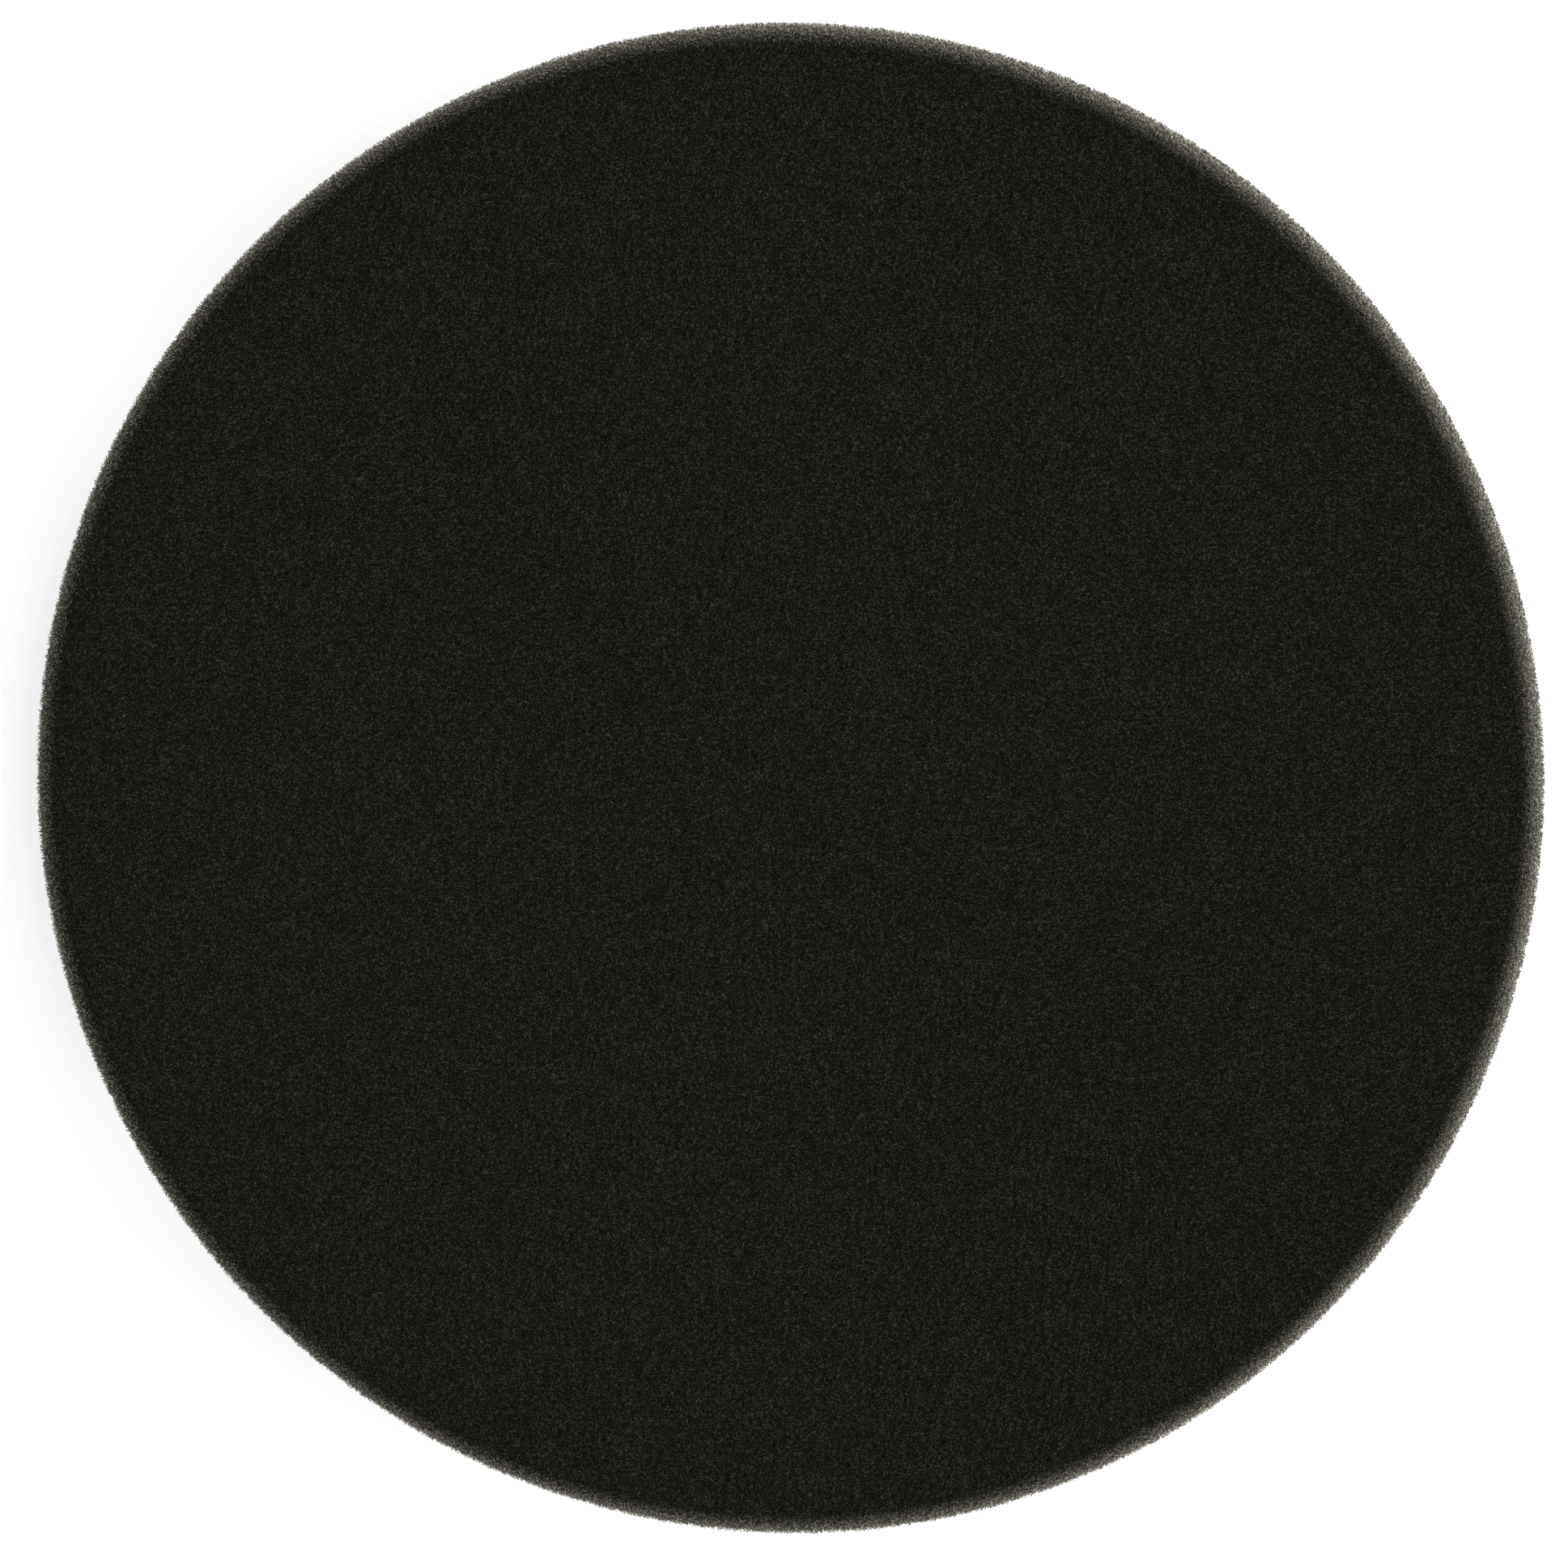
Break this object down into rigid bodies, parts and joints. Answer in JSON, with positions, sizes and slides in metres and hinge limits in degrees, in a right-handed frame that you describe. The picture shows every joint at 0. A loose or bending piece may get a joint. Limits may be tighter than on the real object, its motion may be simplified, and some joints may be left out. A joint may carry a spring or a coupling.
{
  "type": "polishing pad",
  "caption": "Round open-cell foam polishing pad with a rounded front edge and a hook-and-loop backing, for pressing onto a machine's backing plate.",
  "frame": {"origin": "centre of the loop face, which the pad lies on", "axes": "+Z along the pad's axis, from the loop face towards the polishing face; X and Y are any two directions across the round pad"},
  "size_m": [0.15, 0.15, 0.025],
  "materials": {
    "foam": "matte open-cell polyurethane foam, black",
    "glue": "translucent hot-melt film",
    "cloth": "knitted nylon ground cloth, charcoal",
    "loops": "brushed nylon loop pile, charcoal"
  },
  "bodies": {
    "root": {"foam_disc": "foam", "glue_film": "glue", "backing_cloth": "cloth", "loop_pile": "loops"}
  },
  "joints": []
}
